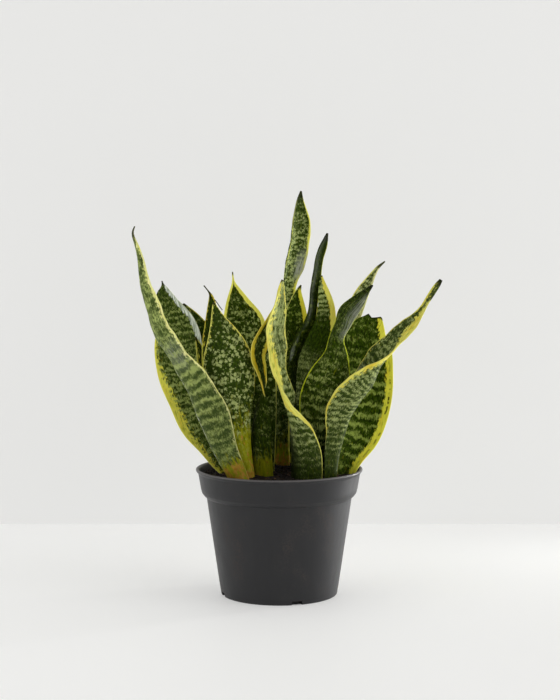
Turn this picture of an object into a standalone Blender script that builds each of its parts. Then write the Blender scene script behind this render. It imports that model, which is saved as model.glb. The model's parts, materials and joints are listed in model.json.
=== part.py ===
"""A variegated snake plant of the short, broad-leaved kind, in a plain tapered nursery pot.

Metres, +Z up, the pot standing on z = 0 with its axis at the origin, and the front of the plant at -Y.
The tables are in millimetres, and MM turns them into metres.
"""

import bpy
import numpy as np

MM = 0.001

# Pot, in mm: the outer half profile from the foot up, then the inner one back down.
POT_HEIGHT = 127.2
RIM_RADIUS = 83.6
FOOT_RADIUS = 57.8
FLOOR = 2.2
POT_SIDES = 60
POT_PROFILE = (
    (0.0, 0.0),
    (FOOT_RADIUS, 0.0),
    (58.5, 0.8),
    (60.7, 14.5),
    (72.9, 98.2),
    (75.4, 100.2),
    (77.6, 103.2),
    (78.6, 107.0),
    (81.3, 122.8),
    (RIM_RADIUS - 0.7, 124.3),
    (RIM_RADIUS, 125.4),
    (RIM_RADIUS - 0.1, POT_HEIGHT - 0.6),
    (RIM_RADIUS - 0.9, POT_HEIGHT),
    (RIM_RADIUS - 2.2, POT_HEIGHT),
    (80.3, 125.8),
    (76.6, 107.0),
    (74.6, 102.2),
    (71.1, 99.0),
    (58.7, 14.5),
    (56.6, FLOOR),
    (0.0, FLOOR),
)

# Four drain notches in the foot: angle from the front towards +X, width and height.
NOTCH_FIRST = 17.4
NOTCH_WIDTH = 10.7
NOTCH_HEIGHT = 3.0

# Soil: a plug that keeps a small gap to the pot, a little heaped at the middle.
SOIL_PROFILE = ((56.2, FLOOR + 0.3), (58.3, 14.5), (70.7, 99.4), (74.2, 102.6), (76.2, 107.2))
SOIL_EDGE = (78.6, 121.0)
SOIL_TOP = 123.3
SOIL_RINGS = (70.0, 56.0, 42.0, 28.0, 14.0)
SOIL_SIDES = 48

# Blades: thickness along the keel at the foot and from THIN_FROM on, and of the margin.
THICK_BASE = 3.2
THICK_TIP = 1.5
THIN_FROM = 220.0
THICK_EDGE = 1.0
WAVE = 0.9
WAVE_LENGTH = 47.0
CELL = 14.0
ACROSS = 4
HOLE_GAP = 0.4
HOLE_TOP = 140.0

# Each blade by rows from its foot in the soil to its tip: the middle between its two margins
# (x, y, z), half the distance between the margins, the depth of its gutter, and the way its
# hollow side faces, in degrees from the front towards +X.
LEAVES = {
    "leaf_left_long": (
        (-35, -43, 112, 9.0, 6, 168),
        (-41, -44, 127, 10.0, 6, 168),
        (-51, -45, 148, 12.0, 6, 164),
        (-65, -46, 189, 17.0, 7, 156),
        (-74, -46, 208, 16.5, 7, 148),
        (-86, -47, 228, 15.0, 6, 139),
        (-98, -48, 244, 13.5, 5, 131),
        (-112, -48, 266, 14.0, 4.5, 129),
        (-122, -48, 292, 11.5, 4, 131),
        (-129, -48, 314, 8.0, 3, 133),
        (-136, -48, 348, 3.0, 1, 135),
        (-141, -48, 364, 1.1, 0.3, 135),
        (-139, -48, 369, 0.6, 0.2, 135),
    ),
    "leaf_left_broad": (
        (-40, -6, 105, 6.5, 6, 15),
        (-48, -6, 122, 8.0, 6, 15),
        (-59, -5, 135, 10.0, 6, 14),
        (-69, -3, 151, 13.0, 6, 12),
        (-81, 0, 170, 18.0, 6, 10),
        (-89, 3, 195, 21.5, 6, 8),
        (-97, 6, 223, 25.0, 6, 6),
        (-101, 9, 245, 24.5, 5.5, 6),
        (-102, 12, 261, 22.5, 5, 6),
        (-106, 14, 275, 18.5, 4, 8),
        (-113, 16, 291, 11.5, 3, 8),
        (-116, 17, 301, 8.5, 2.5, 8),
        (-116, 18, 306, 4.5, 1.5, 8),
        (-117, 18, 310, 1.2, 0.4, 8),
        (-118, 18, 314, 0.5, 0.2, 8),
    ),
    "leaf_left_back": (
        (-34, 14, 104, 7.0, 6, 5),
        (-40, 16, 122, 9.0, 6, 5),
        (-50, 20, 158, 14.5, 6, 5),
        (-61, 25, 193, 19.5, 6, 5),
        (-75, 31, 231, 21.5, 5.5, 5),
        (-85, 36, 258, 17.5, 4, 5),
        (-92, 39, 276, 10.0, 2.5, 5),
        (-98, 41, 290, 1.0, 0.5, 5),
    ),
    "leaf_left_inner": (
        (-33, -19, 108, 7.0, 5, 185),
        (-36, -20, 133, 9.0, 5, 185),
        (-43, -22, 163, 13.0, 5, 185),
        (-51, -23, 198, 18.0, 6, 185),
        (-56, -23, 226, 19.5, 6, 185),
        (-60, -23, 247, 16.5, 5, 185),
        (-63, -23, 267, 11.5, 4, 185),
        (-66, -23, 285, 5.5, 2, 185),
        (-66, -23, 294, 4.0, 1.5, 185),
        (-66, -23, 299, 3.0, 1, 185),
        (-67, -23, 302, 0.9, 0.4, 185),
        (-70, -23, 306, 0.5, 0.2, 185),
        (-74, -23, 311, 0.5, 0.2, 185),
    ),
    "leaf_left_small": (
        (-31, -14, 107, 5.5, 3, 5),
        (-37, -13, 132, 8.0, 3, 5),
        (-48, -13, 165, 9.5, 3.5, 5),
        (-62, -12, 195, 10.0, 3.5, 5),
        (-71, -10, 219, 9.0, 3, 5),
        (-76, -9, 238, 6.0, 2, 5),
        (-80, -8, 251, 3.0, 1, 5),
        (-83, -8, 259, 0.6, 0.3, 5),
    ),
    "leaf_left_front": (
        (-28, -32, 110, 6.0, 5, 186),
        (-31, -33, 126, 6.5, 5, 186),
        (-36, -35, 142, 9.5, 5, 186),
        (-42, -36, 162, 14.5, 6, 185),
        (-47, -36, 182, 19.5, 7, 184),
        (-49, -36, 201, 24.0, 8, 183),
        (-49, -36, 221, 25.5, 8, 182),
        (-51, -35, 245, 23.0, 7, 182),
        (-56, -34, 267, 13.5, 4.5, 182),
        (-60, -33, 279, 7.0, 2.5, 182),
        (-64, -33, 295, 0.8, 0.4, 182),
    ),
    "leaf_mid_left": (
        (-15, -2, 105, 10.0, 6, 5),
        (-17, 0, 130, 12.5, 6, 5),
        (-22, 3, 160, 19.0, 7, 5),
        (-28, 7, 195, 25.5, 8, 5),
        (-33, 11, 233, 28.5, 8, 5),
        (-36, 14, 255, 26.5, 7, 5),
        (-37, 17, 274, 21.5, 5.5, 5),
        (-41, 18, 288, 14.5, 4, 5),
        (-44, 20, 302, 7.5, 2, 5),
        (-46, 20, 312, 1.4, 0.3, 5),
        (-47, 20, 323, 0.5, 0.2, 5),
    ),
    "leaf_mid_twisted": (
        (-13, -22, 108, 9.0, 5, 168),
        (-15, -24, 124, 9.5, 5, 165),
        (-17, -25, 148, 10.5, 5, 158),
        (-17, -27, 171, 11.5, 4.5, 146),
        (-16, -30, 191, 12.0, 3, 120),
        (-14, -32, 206, 12.5, 1.5, 94),
        (-15, -33, 216, 13.0, 1.5, 82),
        (-18, -34, 231, 13.5, 2, 68),
        (-20, -35, 248, 13.5, 2.5, 56),
        (-16, -34, 260, 12.5, 3, 55),
        (-10, -33, 270, 10.5, 3, 55),
        (-4, -32, 280, 9.0, 2.5, 54),
        (0, -31, 290, 7.5, 2, 52),
        (1, -31, 305, 4.5, 1, 50),
        (3, -31, 317, 0.6, 0.3, 50),
    ),
    "leaf_front_twisted": (
        (28, -40, 111, 13.0, 6, 172),
        (27, -41, 127, 15.5, 7, 170),
        (27, -42, 146, 15.5, 7.5, 164),
        (24, -44, 163, 14.5, 8, 150),
        (21, -46, 177, 14.5, 8.5, 130),
        (18, -48, 189, 14.5, 9, 106),
        (13, -49, 201, 14.0, 8, 80),
        (5, -48, 218, 13.0, 4.5, 66),
        (-1, -46, 236, 13.0, 3, 55),
        (-2, -45, 252, 13.5, 3, 46),
        (-3, -44, 269, 13.0, 3, 45),
        (0, -43, 286, 10.0, 2.5, 45),
        (2, -42, 302, 5.0, 1, 45),
        (4, -42, 317, 0.6, 0.2, 45),
    ),
    "leaf_tallest": (
        (2, 40, 106, 8.0, 4, 12),
        (3, 39, 126, 8.0, 4, 12),
        (3, 38, 153, 7.5, 4, 12),
        (4, 36, 191, 8.0, 4, 15),
        (7, 33, 243, 9.5, 4, 25),
        (10, 29, 284, 9.0, 5, 42),
        (11, 26, 306, 8.5, 6, 46),
        (15, 23, 326, 13.5, 7, 45),
        (20, 20, 345, 13.0, 7, 41),
        (22, 18, 363, 12.5, 6, 36),
        (22, 16, 380, 8.5, 4, 30),
        (21, 15, 393, 4.5, 2, 28),
        (22, 15, 404, 0.8, 0.3, 28),
    ),
    "leaf_mid_dark": (
        (24, 13, 102, 7.0, 5, 5),
        (24, 14, 128, 8.0, 5, 5),
        (22, 15, 163, 9.0, 5, 5),
        (19, 15, 194, 9.5, 5, 5),
        (17, 15, 224, 11.0, 5, 5),
        (17, 15, 249, 12.0, 5, 5),
        (17, 14, 277, 11.5, 4, 5),
        (18, 13, 294, 7.0, 2.5, 5),
        (20, 13, 306, 2.0, 1, 5),
        (22, 13, 310, 0.5, 0.2, 5),
    ),
    "leaf_mid_narrow": (
        (30, 1, 104, 7.5, 5, 10),
        (29, 1, 130, 9.0, 5, 12),
        (27, 2, 165, 11.5, 5, 15),
        (24, 2, 200, 13.0, 5, 20),
        (22, 2, 230, 14.5, 5, 26),
        (24, 2, 252, 13.5, 4, 34),
        (30, 3, 268, 8.5, 3, 38),
        (34, 3, 287, 6.0, 2, 42),
        (35, 2, 302, 6.0, 2, 44),
        (38, 1, 320, 6.5, 2, 46),
        (40, -3, 338, 6.0, 1.5, 46),
        (45, -3, 352, 4.5, 1, 46),
        (48, -3, 362, 1.1, 0.4, 46),
    ),
    "leaf_right_inner": (
        (35, -12, 106, 8.0, 5, 5),
        (35, -12, 129, 10.0, 5, 5),
        (35, -12, 162, 14.0, 6, 5),
        (35, -10, 197, 18.0, 6, 5),
        (38, -5, 234, 19.0, 6, 5),
        (43, 0, 256, 15.0, 5, 5),
        (47, 2, 277, 10.0, 4, 5),
        (47, 1, 291, 8.0, 3, 5),
        (44, 0, 305, 5.5, 2, 5),
        (42, 0, 320, 0.8, 0.4, 5),
    ),
    "leaf_right_front": (
        (37, -20, 108, 7.5, 5, 178),
        (37, -21, 128, 9.0, 5, 178),
        (37, -24, 153, 12.5, 6, 178),
        (39, -27, 179, 18.5, 7, 178),
        (43, -28, 200, 23.0, 7, 177),
        (50, -27, 222, 20.5, 7, 176),
        (56, -25, 243, 12.0, 6, 175),
        (56, -23, 260, 7.0, 5, 172),
        (64, -22, 275, 8.0, 4, 168),
        (66, -21, 283, 10.5, 4, 166),
        (72, -21, 289, 9.0, 4, 164),
        (79, -20, 297, 6.5, 3, 162),
        (86, -19, 305, 3.0, 2, 160),
        (92, -18, 311, 0.8, 0.4, 160),
    ),
    "leaf_right_dark": (
        (50, 9, 105, 7.0, 5, 3),
        (51, 15, 153, 8.0, 5, 3),
        (52, 22, 193, 8.5, 5, 3),
        (55, 25, 228, 8.5, 4.5, 3),
        (58, 27, 249, 8.5, 4, 3),
        (63, 27, 267, 8.5, 3.5, 0),
        (71, 25, 283, 6.0, 2.5, 0),
        (79, 22, 295, 0.8, 0.4, 0),
    ),
    "leaf_right_back": (
        (51, 24, 103, 7.0, 5, 0),
        (54, 27, 136, 9.0, 5, 0),
        (58, 30, 172, 11.0, 5, 0),
        (61, 32, 207, 12.0, 5, 0),
        (64, 34, 238, 11.5, 4.5, 0),
        (69, 36, 263, 9.0, 4, -5),
        (77, 39, 283, 8.5, 3.5, -8),
        (85, 41, 302, 7.0, 3, -10),
        (93, 43, 315, 4.0, 2, -12),
        (99, 44, 325, 2.0, 1, -12),
        (108, 45, 333, 0.6, 0.3, -12),
    ),
    "leaf_right_broad": (
        (64, -12, 106, 7.0, 5, -10),
        (66, -12, 122, 8.5, 6, -10),
        (72, -9, 140, 12.5, 6, -8),
        (81, -4, 159, 19.0, 7, -6),
        (86, 2, 183, 24.0, 7, -5),
        (88, 8, 210, 26.5, 7, -5),
        (88, 14, 236, 26.5, 6, -5),
        (88, 19, 258, 21.0, 5, -5),
        (92, 22, 270, 15.5, 3.5, -5),
        (95, 24, 278, 9.5, 2, -5),
    ),
    "leaf_right_long": (
        (47, -33, 110, 9.0, 8, -108),
        (47, -34, 126, 10.0, 8.5, -108),
        (48, -35, 148, 12.0, 10.5, -108),
        (51, -36, 170, 15.5, 13.5, -111),
        (53, -37, 190, 19.0, 18, -114),
        (60, -38, 208, 21.5, 21, -110),
        (73, -38, 225, 19.0, 21, -93),
        (90, -37, 242, 17.0, 13, -78),
        (102, -36, 250, 16.5, 7.5, -72),
        (115, -35, 263, 14.5, 4, -65),
        (123, -34, 270, 12.0, 3, -63),
        (132, -33, 278, 9.0, 2, -65),
        (138, -33, 286, 6.0, 1.5, -62),
        (144, -32, 296, 4.5, 1, -62),
        (151, -32, 307, 4.0, 0.8, -54),
        (156, -31, 314, 3.0, 0.5, -51),
        (158, -31, 317, 2.0, 0.3, -54),
    ),
    "leaf_back_far_left": (
        (-50, 26, 109, 8.0, 5, 25),
        (-56, 30, 135, 10.0, 5, 25),
        (-66, 40, 170, 14.0, 6, 25),
        (-76, 50, 205, 16.0, 6, 25),
        (-83, 57, 235, 15.0, 5, 25),
        (-88, 62, 257, 9.0, 3, 25),
        (-90, 64, 271, 1.0, 0.4, 25),
    ),
    "leaf_back_left": (
        (-24, 30, 107, 9.0, 6, 10),
        (-26, 33, 130, 10.0, 6, 10),
        (-29, 44, 165, 16.0, 7, 10),
        (-32, 60, 200, 20.0, 7, 10),
        (-37, 76, 235, 20.0, 6, 10),
        (-42, 90, 262, 12.0, 4, 10),
        (-44, 98, 282, 1.0, 0.4, 10),
    ),
    "leaf_back_left_low": (
        (-26, 58, 107, 8.0, 5, 14),
        (-29, 64, 135, 10.0, 5, 14),
        (-37, 82, 175, 16.0, 6, 14),
        (-46, 102, 212, 18.0, 5, 14),
        (-52, 116, 238, 10.0, 3, 14),
        (-55, 124, 255, 1.0, 0.4, 14),
    ),
    "leaf_back_middle": (
        (6, 57, 107, 9.0, 5, 0),
        (7, 61, 135, 11.0, 5, 0),
        (8, 74, 175, 17.0, 6, 0),
        (8, 94, 215, 21.0, 6, 0),
        (7, 112, 245, 14.0, 4, 0),
        (6, 124, 268, 1.0, 0.4, 0),
    ),
    "leaf_back_right": (
        (26, 32, 106, 9.0, 6, -8),
        (28, 36, 130, 11.0, 6, -8),
        (32, 50, 170, 18.0, 7, -8),
        (36, 70, 210, 22.0, 7, -8),
        (39, 88, 245, 17.0, 5, -8),
        (41, 100, 270, 7.0, 2.5, -8),
        (42, 104, 284, 1.0, 0.4, -8),
    ),
    "leaf_back_right_low": (
        (30, 60, 107, 8.0, 5, -12),
        (33, 66, 135, 10.0, 5, -12),
        (40, 84, 175, 16.0, 6, -12),
        (47, 104, 212, 18.0, 5, -12),
        (52, 118, 240, 10.0, 3, -12),
        (55, 126, 258, 1.0, 0.4, -12),
    ),
    "leaf_back_far_right": (
        (57, 37, 107, 7.0, 5, -30),
        (60, 40, 132, 9.0, 5, -30),
        (70, 51, 168, 15.0, 6, -30),
        (80, 62, 203, 19.0, 6, -30),
        (86, 74, 235, 13.0, 4, -30),
        (90, 82, 258, 1.0, 0.4, -30),
    ),
}


def slopes(times, values, limited):
    """Slope at each row of a smooth curve through the values. A limited one never overshoots."""
    steps = np.diff(times)[:, None]
    rates = np.diff(values, axis=0) / steps
    before, after = rates[:-1], rates[1:]
    h0, h1 = steps[:-1], steps[1:]
    middle = (before * h1 + after * h0) / (h0 + h1)
    if limited:
        most = 2.5 * np.minimum(abs(before), abs(after))
        middle = np.where(before * after > 0, np.clip(middle, -most, most), 0)
    return np.vstack([rates[:1], middle, rates[-1:]])


def smooth_rows(rows, cell):
    """The rows of a blade with more between them, and how far along the blade each one lies."""
    rows = np.array(rows, float)
    gaps = np.linalg.norm(np.diff(rows[:, :3], axis=0), axis=1)
    times = np.concatenate([[0], np.cumsum(gaps)])
    slope = slopes(times, rows, False)
    slope[:, 3:5] = slopes(times, rows[:, 3:5], True)
    found = [rows[:1]]
    along = [[0.0]]
    for i, gap in enumerate(gaps):
        count = max(1, int(round(gap / cell)))
        t = (np.arange(1, count + 1) / count)[:, None]
        part = (2 * t**3 - 3 * t**2 + 1) * rows[i] + (t**3 - 2 * t**2 + t) * gap * slope[i]
        part += (3 * t**2 - 2 * t**3) * rows[i + 1] + (t**3 - t**2) * gap * slope[i + 1]
        found.append(part)
        along.append(times[i] + gap * t[:, 0])
    return np.vstack(found), np.concatenate(along)


def unit(vectors):
    return vectors / np.linalg.norm(vectors, axis=-1, keepdims=True)


def blade_surface(rows, along, across, phase, grow):
    """Points of the middle surface of a blade, row by row, and its normals on the hollow side.

    The margins are waved, except near the foot.
    """
    spine = rows[:, :3]
    half, sag, facing = rows[:, 3], rows[:, 4], np.radians(rows[:, 5])
    forward = unit(np.gradient(spine, along, axis=0))
    face = np.stack([np.sin(facing), -np.cos(facing), np.zeros(len(rows))], 1)
    face = unit(face - (face * forward).sum(1)[:, None] * forward)
    side = np.cross(forward, face)
    wider = 1 + grow / np.sqrt(half**2 + 4 * sag**2)
    s = wider[:, None, None] * np.linspace(-1, 1, across + 1)[None, :, None]
    size = WAVE * np.clip(half / 14, 0, 1) * np.clip((along - 40) / 50, 0, 1)
    turn = 2 * np.pi * along / WAVE_LENGTH + phase
    wave = np.where(s[..., 0] > 0, np.sin(turn)[:, None], np.sin(1.13 * turn + 2)[:, None])
    lift = sag[:, None] * (s[..., 0] ** 2 - 1) + size[:, None] * wave * abs(s[..., 0]) ** 3
    points = spine[:, None] + half[:, None, None] * s * side[:, None] + lift[..., None] * face[:, None]
    normals = np.cross(np.gradient(points, axis=1), np.gradient(points, axis=0))
    return points, unit(normals), s[..., 0]


def blade_mesh(rows, phase, cell, across, grow):
    """Closed blade: two skins cut into triangles alike, joined along both margins and both ends."""
    rows, along = smooth_rows(rows, cell)
    rows[:, 3] = np.maximum(rows[:, 3], 0.5)
    points, normals, s = blade_surface(rows, along, across, phase, grow)
    keel = THICK_BASE + (THICK_TIP - THICK_BASE) * np.clip(along / THIN_FROM, 0, 1)
    keel = np.minimum(keel, 0.9 + 0.3 * rows[:, 3])[:, None]
    edge = np.minimum(keel, THICK_EDGE)
    thick = edge + (keel - edge) * (1 - np.minimum(abs(s), 1) ** 2.5) + 2 * grow
    skins = [points + normals * thick[..., None] / 2, points - normals * thick[..., None] / 2]
    n, m = points.shape[:2]
    front = np.arange(n * m).reshape(n, m)
    back = front + n * m
    faces = []
    for i in range(n - 1):
        for j in range(m - 1):
            a, b, c, d = front[i, j], front[i, j + 1], front[i + 1, j + 1], front[i + 1, j]
            faces += [(a, b, c), (a, c, d)]
            a, b, c, d = back[i, j], back[i, j + 1], back[i + 1, j + 1], back[i + 1, j]
            faces += [(a, c, b), (a, d, c)]
        for j, first, second in ((0, front, back), (m - 1, back, front)):
            a, b, c, d = first[i, j], first[i + 1, j], second[i + 1, j], second[i, j]
            faces += [(a, b, c), (a, c, d)]
    for j in range(m - 1):
        for i, first, second in ((0, front, back), (n - 1, back, front)):
            a, b, c, d = first[i, j], first[i, j + 1], second[i, j + 1], second[i, j]
            faces += [(a, c, b), (a, d, c)]
    return np.concatenate([skin.reshape(-1, 3) for skin in skins]), faces


def turned_mesh(profile, sides):
    """Closed turned body from a half profile whose first and last points lie on the axis."""
    angles = 2 * np.pi * np.arange(sides) / sides
    points = [(0.0, 0.0, profile[0][1])]
    for radius, z in profile[1:-1]:
        points += [(radius * np.sin(a), -radius * np.cos(a), z) for a in angles]
    points.append((0.0, 0.0, profile[-1][1]))
    last = len(points) - 1
    faces = []
    for k in range(sides):
        k1 = (k + 1) % sides
        faces.append((0, 1 + k1, 1 + k))
        for ring in range(len(profile) - 3):
            low, high = 1 + ring * sides, 1 + (ring + 1) * sides
            faces.append((low + k, low + k1, high + k1, high + k))
        top = 1 + (len(profile) - 3) * sides
        faces.append((top + k, top + k1, last))
    return np.array(points), faces


def material(name, colour, roughness):
    made = bpy.data.materials.new(name)
    made.use_nodes = True
    shader = made.node_tree.nodes["Principled BSDF"]
    shader.inputs["Base Color"].default_value = (*colour, 1)
    shader.inputs["Roughness"].default_value = roughness
    return made


def add(name, points, faces, look=None):
    mesh = bpy.data.meshes.new(name)
    mesh.from_pydata((np.asarray(points) * MM).tolist(), [], [tuple(map(int, f)) for f in faces])
    mesh.update()
    made = bpy.data.objects.new(name, mesh)
    bpy.context.scene.collection.objects.link(made)
    if look:
        mesh.materials.append(look)
    else:
        made.hide_render = True
        made.display_type = "WIRE"
    return made


def cut(body, cutter):
    step = body.modifiers.new(cutter.name, "BOOLEAN")
    step.operation = "DIFFERENCE"
    step.solver = "EXACT"
    step.object = cutter


def notch_cutter(name, degrees):
    """Box across the foot of the wall, open below."""
    angle = np.radians(degrees)
    out = np.array([np.sin(angle), -np.cos(angle), 0])
    side = np.array([np.cos(angle), np.sin(angle), 0])
    up = np.array([0, 0, 1])
    points = []
    for r, w, z in np.ndindex(2, 2, 2):
        radius, width = (52.5, 64.0)[r], (w - 0.5) * NOTCH_WIDTH
        points.append(radius * out + width * side + (-2.0, NOTCH_HEIGHT)[z] * up)
    faces = [(0, 1, 3, 2), (4, 6, 7, 5), (0, 4, 5, 1), (2, 3, 7, 6), (0, 2, 6, 4), (1, 5, 7, 3)]
    return add(name, points, faces)


for old in list(bpy.data.objects):
    bpy.data.objects.remove(old, do_unlink=True)

# Pot
pot = add("pot", *turned_mesh(POT_PROFILE, POT_SIDES), material("pot plastic", (0.032, 0.032, 0.034), 0.45))
for k in range(4):
    cut(pot, notch_cutter(f"notch_{k}", NOTCH_FIRST + 90 * k))

# Soil, its top a little uneven
heap = [(r, SOIL_TOP - (SOIL_TOP - SOIL_EDGE[1]) * (r / SOIL_EDGE[0]) ** 3) for r in SOIL_RINGS]
profile = ((0.0, FLOOR + 0.3), *SOIL_PROFILE, SOIL_EDGE, *heap, (0.0, SOIL_TOP))
soil_points, soil_faces = turned_mesh(profile, SOIL_SIDES)
noise = np.random.default_rng(5)
first = 1 + (len(SOIL_PROFILE) + 1) * SOIL_SIDES
soil_points[first:, 2] += noise.uniform(-0.7, 0.7, len(soil_points) - first)
soil = add("soil", soil_points, soil_faces, material("potting soil", (0.022, 0.014, 0.01), 0.95))

# Blades, each in its own hole in the soil
for index, (name, rows) in enumerate(LEAVES.items()):
    look = material(name.replace("_", " "), (0.09, 0.15, 0.045), 0.4)
    add(name, *blade_mesh(rows, 1.7 * index, CELL, ACROSS, 0), look)
    kept = 2 + next(i for i, row in enumerate(rows) if row[2] > HOLE_TOP)
    foot = np.array(rows[:kept], float)
    way = unit(foot[1, :3] - foot[0, :3])
    foot[0, :3] -= HOLE_GAP * way
    hole = add("hole_" + name, *blade_mesh(foot, 1.7 * index, CELL, ACROSS, HOLE_GAP))
    cut(soil, hole)
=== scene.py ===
"""Looks of the potted snake plant: fine blades with their markings, pot, soil, light and camera.

The frame is in metres, +Z up, with the front of the plant at -Y. The tables and the functions that
shape the blades, the pot and the soil work in millimetres, and MM turns them into metres.
"""

import json

import bmesh
import bpy
import numpy as np
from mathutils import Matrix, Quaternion, Vector, noise

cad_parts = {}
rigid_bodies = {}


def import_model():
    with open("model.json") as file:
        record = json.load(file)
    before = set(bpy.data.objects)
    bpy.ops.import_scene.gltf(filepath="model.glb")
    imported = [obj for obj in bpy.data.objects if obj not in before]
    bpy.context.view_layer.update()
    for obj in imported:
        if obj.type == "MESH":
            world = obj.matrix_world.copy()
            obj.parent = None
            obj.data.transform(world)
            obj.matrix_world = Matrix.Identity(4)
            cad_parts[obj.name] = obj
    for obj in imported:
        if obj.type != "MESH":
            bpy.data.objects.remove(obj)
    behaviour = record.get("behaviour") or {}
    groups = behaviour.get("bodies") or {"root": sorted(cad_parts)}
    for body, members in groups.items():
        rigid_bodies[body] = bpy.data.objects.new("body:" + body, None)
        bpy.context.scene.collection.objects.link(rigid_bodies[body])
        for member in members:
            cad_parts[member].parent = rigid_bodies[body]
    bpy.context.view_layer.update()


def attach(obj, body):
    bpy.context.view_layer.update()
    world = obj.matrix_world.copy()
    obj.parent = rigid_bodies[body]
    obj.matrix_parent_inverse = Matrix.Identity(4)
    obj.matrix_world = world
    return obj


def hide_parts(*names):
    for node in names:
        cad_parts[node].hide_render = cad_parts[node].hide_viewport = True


MM = 0.001

# Pot, in mm: the outer half profile from the foot up, then the inner one back down, with its corners
# rounded. Four drain notches are cut through the foot, the first one that many degrees from the front.
POT_HEIGHT = 127.2
RIM_RADIUS = 83.6
FOOT_RADIUS = 57.8
FLOOR = 2.2
POT_SIDES = 180
POT_PROFILE = (
    (0, 0),
    (FOOT_RADIUS, 0),
    (58.5, 0.8),
    (60.7, 14.5),
    (72.9, 98.2),
    (75.4, 100.2),
    (77.6, 103.2),
    (78.6, 107),
    (81.3, 122.8),
    (RIM_RADIUS - 0.7, 124.3),
    (RIM_RADIUS, 125.4),
    (RIM_RADIUS - 0.1, POT_HEIGHT - 0.6),
    (RIM_RADIUS - 0.9, POT_HEIGHT),
    (RIM_RADIUS - 2.2, POT_HEIGHT),
    (80.3, 125.8),
    (76.6, 107),
    (74.6, 102.2),
    (71.1, 99),
    (58.7, 14.5),
    (56.6, FLOOR),
    (0, FLOOR),
)
CORNER = 0.7
NOTCH_FIRST = 17.4
NOTCH_WIDTH = 10.7
NOTCH_HEIGHT = 4
NOTCH_BELOW = -2
NOTCH_REACH = (52.5, 64)

# Soil, in mm: a plug that keeps a small gap to the pot, a little heaped at the middle. Each of its
# roughnesses has a height, a size and a layer of the noise.
SOIL_PROFILE = ((56.2, FLOOR + 0.3), (58.3, 14.5), (70.7, 99.4), (74.2, 102.6), (76.2, 107.2))
SOIL_EDGE = (78.6, 121)
SOIL_TOP = 123.3
SOIL_SIDES = 200
SOIL_ROUGH = ((1.1, 16, 4.2), (0.9, 5, 8.7), (0.6, 1.9, 2.3))
CRUMBS = 1500
CRUMB_LEAST = 0.55
CRUMB_MORE = 1.5
CRUMB_REACH = 77.5
BARK_SHARE = 0.16

# Blades, in mm: the thickness of the keel at the foot and from THIN_FROM on, and of the margin, with
# the rounding of its edge; the waves of the margins, and the half width and the stretch from which
# they are free to wave; the spacing of the rows, the number of columns and the reach over which kinks
# are eased; the length in the soil, where the colours of the foot begin to fade, and how far the jags
# of a cut end reach down.
THICK_BASE = 3.2
THICK_TIP = 1.5
THIN_FROM = 220
THICK_EDGE = 1
EDGE_ROUND = 0.6
LEAST_HALF = 0.5
WAVE = 0.9
WAVE_LENGTH = 47
RIPPLE = 0.12
FREE_HALF = 14
FREE_FROM = 40
FREE_OVER = 50
CELL = 2
ACROSS = 32
EASE = 5
IN_SOIL = 18
FOOT_FROM = 14
TAN_REACH = 18
JAG_REACH = 8

# Dry thread at the tip of the front left blade, in mm.
THREAD_RADIUS = 0.45
THREAD = (
    (-64, -34.5, 294.5),
    (-62.6, -36.5, 297.6),
    (-60.6, -37.5, 295),
    (-58.2, -38, 291.4),
    (-55.2, -38.5, 287.6),
)

# Colours of a blade, from 0 to 255. Where there are two, a soft mottle blends them.
DEEP_GREEN = ((17, 28, 1), (52, 72, 6))
GREY_GREEN = ((100, 122, 30), (146, 160, 70))
PALE_GREEN = ((136, 150, 76), (196, 203, 146))
LEMON = ((208, 204, 4), (236, 230, 84))
AMBER = ((220, 166, 0), (214, 190, 24))
# Whites of a painted sheen on the margins.
PAINTED_SHEEN_WHITES = ((138, 152, 128), (226, 232, 220))
STEM = ((88, 102, 0), (176, 172, 24))
BROWN = ((214, 162, 62), (112, 76, 14))
VEIL = (68, 82, 42)
CREAM = (238, 234, 166)
LIME = (188, 200, 40)
DULL = (128, 142, 16)
VEIN = (40, 54, 8)
EDGE = (196, 196, 120)
DRY = (34, 38, 18)
# Grey of a painted sheen on the faces of some blades.
PAINTED_GLEAM_GREY = (172, 176, 160)

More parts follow.
